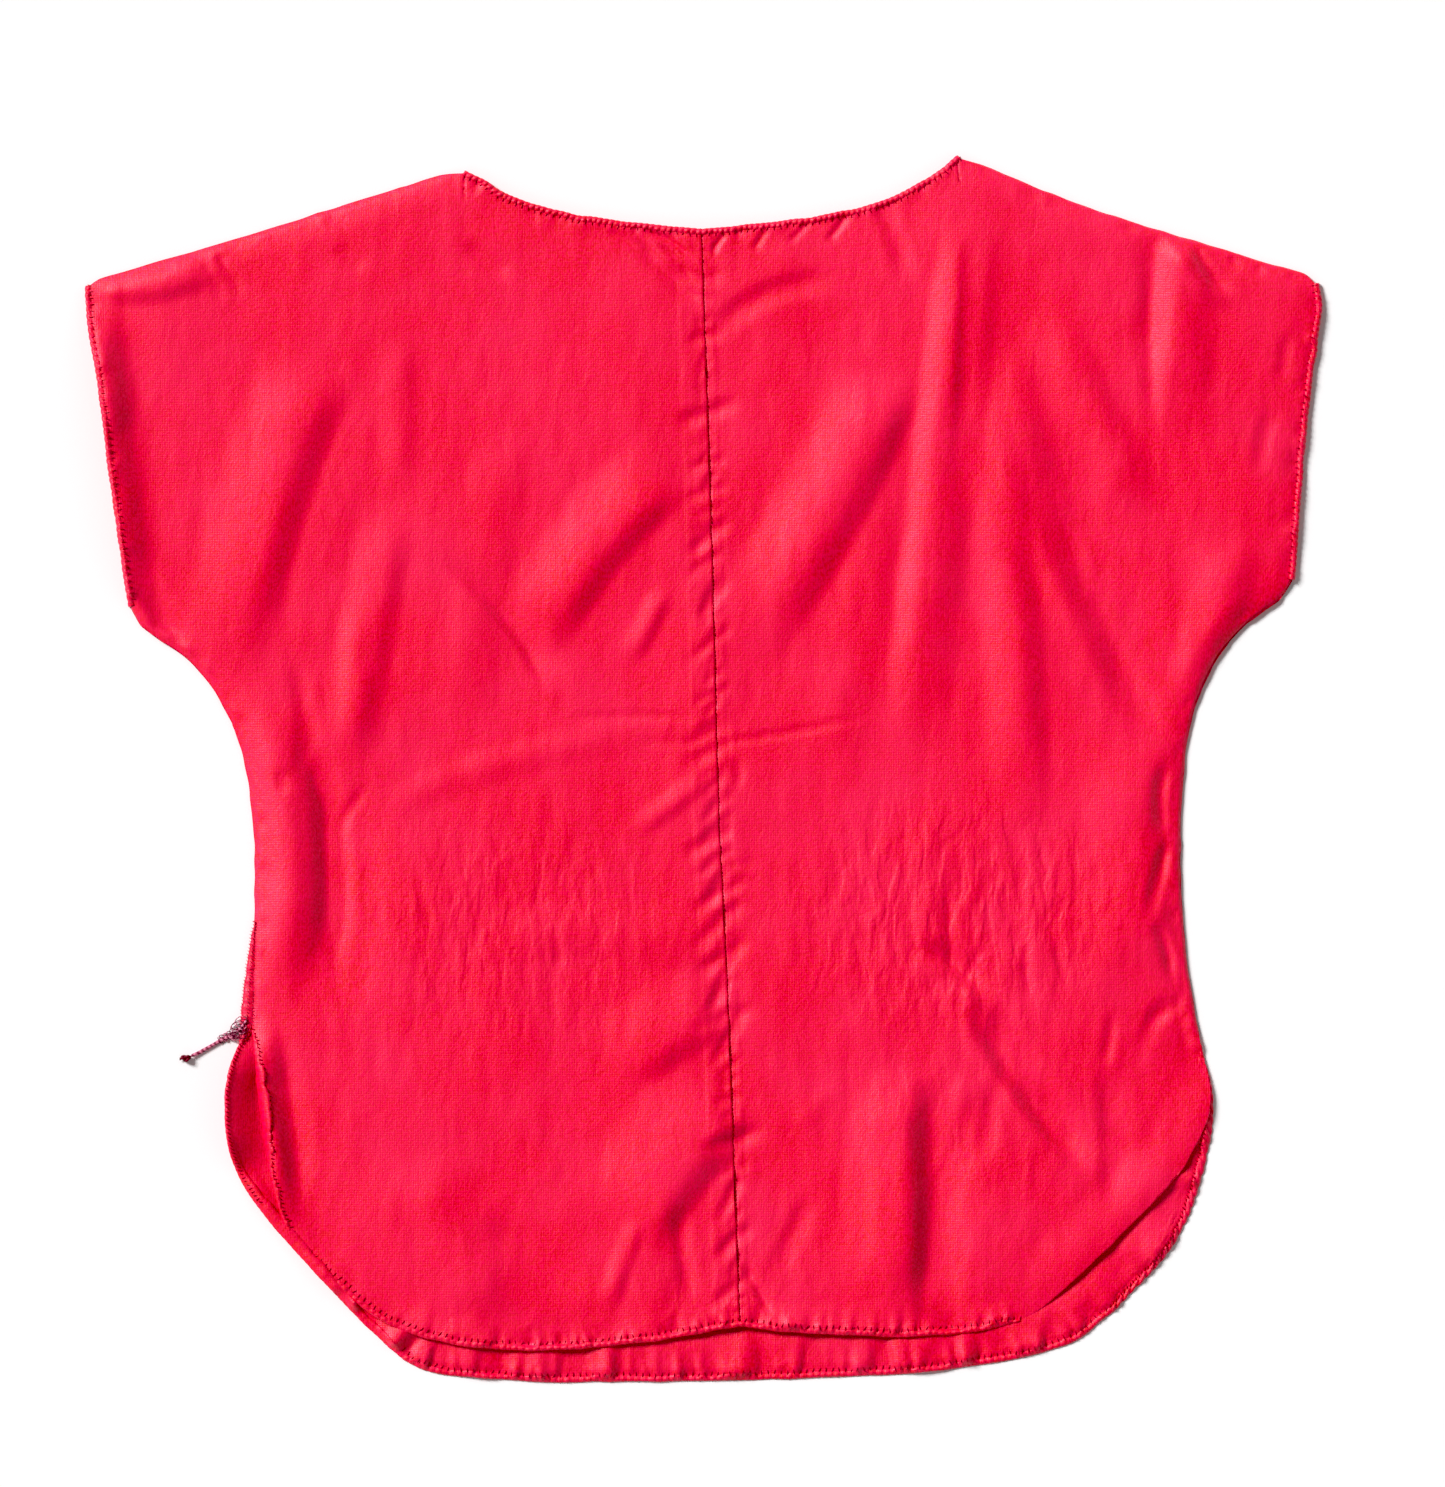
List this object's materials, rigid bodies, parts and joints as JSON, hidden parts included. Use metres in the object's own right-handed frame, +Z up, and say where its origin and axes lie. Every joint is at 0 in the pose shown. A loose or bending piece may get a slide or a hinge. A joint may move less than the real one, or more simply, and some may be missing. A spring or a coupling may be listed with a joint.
{
  "type": "boxy top",
  "caption": "Plain woven top laid flat, front up, with cap sleeves cut in one, a boat neck, a centre front seam, rolled hems and a longer curved back with side slits.",
  "frame": {"origin": "centre of the bounding box in plan, on the surface the top lies on", "axes": "+X across the top, towards the wearer's left sleeve; +Y towards the neck; +Z up from the surface, out of the front"},
  "size_m": [0.643, 0.6388, 0.0101],
  "materials": {
    "coral_woven_cloth": "thin plain weave, slightly slubbed, with a soft low sheen",
    "overlock_thread": "overlocked polyester thread over the cut edge of the cloth"
  },
  "bodies": {
    "root": {"back_panel": "coral_woven_cloth", "front_left_panel": "coral_woven_cloth", "front_right_panel": "coral_woven_cloth", "front_hem": "coral_woven_cloth", "back_hem": "coral_woven_cloth", "neck_hem": "coral_woven_cloth", "sleeve_hem_left": "coral_woven_cloth", "sleeve_hem_right": "coral_woven_cloth", "corner_turned_under": "coral_woven_cloth", "seam_edge_left": "overlock_thread", "thread_tail": "overlock_thread", "tail_knot": "overlock_thread"}
  },
  "joints": []
}
